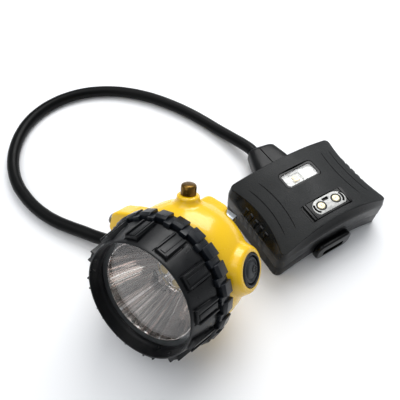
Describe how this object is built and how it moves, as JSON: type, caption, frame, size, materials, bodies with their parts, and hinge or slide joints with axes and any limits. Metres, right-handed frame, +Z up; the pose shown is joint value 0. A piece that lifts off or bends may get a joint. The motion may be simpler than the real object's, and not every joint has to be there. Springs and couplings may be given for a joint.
{
  "type": "miner's cap lamp",
  "caption": "Corded cap lamp: a round headpiece with a screw-on toothed bezel and a side push switch, cabled to a curved battery pack with a contact port.",
  "frame": {"origin": "on the table, under the middle of the headpiece and battery pack taken together, cable left out", "axes": "+Z up from the table; the headpiece lies towards -X -Y with its beam pointing to -X -Y and up; the pack lies towards +X +Y"},
  "size_m": [0.2332, 0.2011, 0.0703],
  "materials": {
    "yellow_housing": "gloss",
    "black_gloss": "semi-gloss",
    "clear_lens": "polished",
    "grey_seal": "matt",
    "mirror_bowl": "mirror",
    "led_phosphor": "satin",
    "white_board": "satin",
    "heat_sink_metal": "satin",
    "green_board": "satin",
    "black_rubber": "matt",
    "aged_brass": "tarnished",
    "nickel_plate": "satin",
    "spring_steel": "brushed",
    "pack_shell": "fine grain",
    "cell_foil": "satin",
    "red_wire": "satin",
    "black_wire": "satin"
  },
  "bodies": {
    "body": {"lamp_housing": "yellow_housing", "neck_seal": "black_rubber", "led_board": "white_board", "heat_sink": "heat_sink_metal", "driver_board": "green_board", "reflector": "mirror_bowl", "main_led": "led_phosphor", "side_led_1": "led_phosphor", "side_led_2": "led_phosphor", "side_led_3": "led_phosphor", "side_led_4": "led_phosphor", "side_led_5": "led_phosphor", "side_led_6": "led_phosphor", "button_collar": "black_rubber", "micro_switch": "black_gloss", "charge_post": "aged_brass", "post_nut": "aged_brass", "side_contact": "nickel_plate", "side_contact_nut": "nickel_plate", "rear_hook": "spring_steel", "hook_screw_1": "spring_steel", "hook_screw_2": "spring_steel", "head_gland": "black_rubber", "head_wire_red": "red_wire", "head_wire_black": "black_wire", "upper_shell": "pack_shell", "lower_shell": "pack_shell", "shell_seal": "black_rubber", "cell_1": "cell_foil", "cell_2": "cell_foil", "protection_board": "green_board", "pack_screw_1": "spring_steel", "pack_screw_2": "spring_steel", "pack_screw_3": "spring_steel", "pack_screw_4": "spring_steel", "window_pane": "clear_lens", "indicator_board": "white_board", "indicator_led": "led_phosphor", "contact_block": "black_gloss", "contact_plate": "nickel_plate", "contact_pin_1": "nickel_plate", "contact_pin_2": "nickel_plate", "pin_sleeve_1": "black_gloss", "pin_sleeve_2": "black_gloss", "port_magnet_1": "nickel_plate", "port_magnet_2": "nickel_plate", "strap_loop": "black_gloss", "cable_hood": "black_gloss", "pack_wire_red": "red_wire", "pack_wire_black": "black_wire", "cable": "black_rubber"},
    "lens_set": {"lens": "clear_lens", "lens_gasket": "grey_seal"},
    "bezel": {"bezel": "black_gloss"},
    "switch": {"switch_button": "black_rubber", "button_plunger": "black_gloss"}
  },
  "joints": [
    {"name": "bezel_turn", "type": "hinge", "parent": "lens_set", "child": "bezel", "pos_m": [-0.0514, -0.0525, 0.0423], "axis": [-0.5261, -0.7268, 0.4415], "range_deg": [0, 720]},
    {"name": "bezel_advance", "type": "slide", "parent": "body", "child": "lens_set", "axis": [-0.5261, -0.7268, 0.4415], "range_m": [0, 0.0061]},
    {"name": "switch_press", "type": "slide", "parent": "body", "child": "switch", "axis": [-0.8241, 0.3078, -0.4755], "range_m": [0, 0.0008], "stiffness_N_per_m": 1500, "springref_m": -0.001}
  ],
  "couplings": [
    {"joint": "bezel_advance", "follows": "bezel_turn", "m_per_rad": 0.00047746}
  ]
}
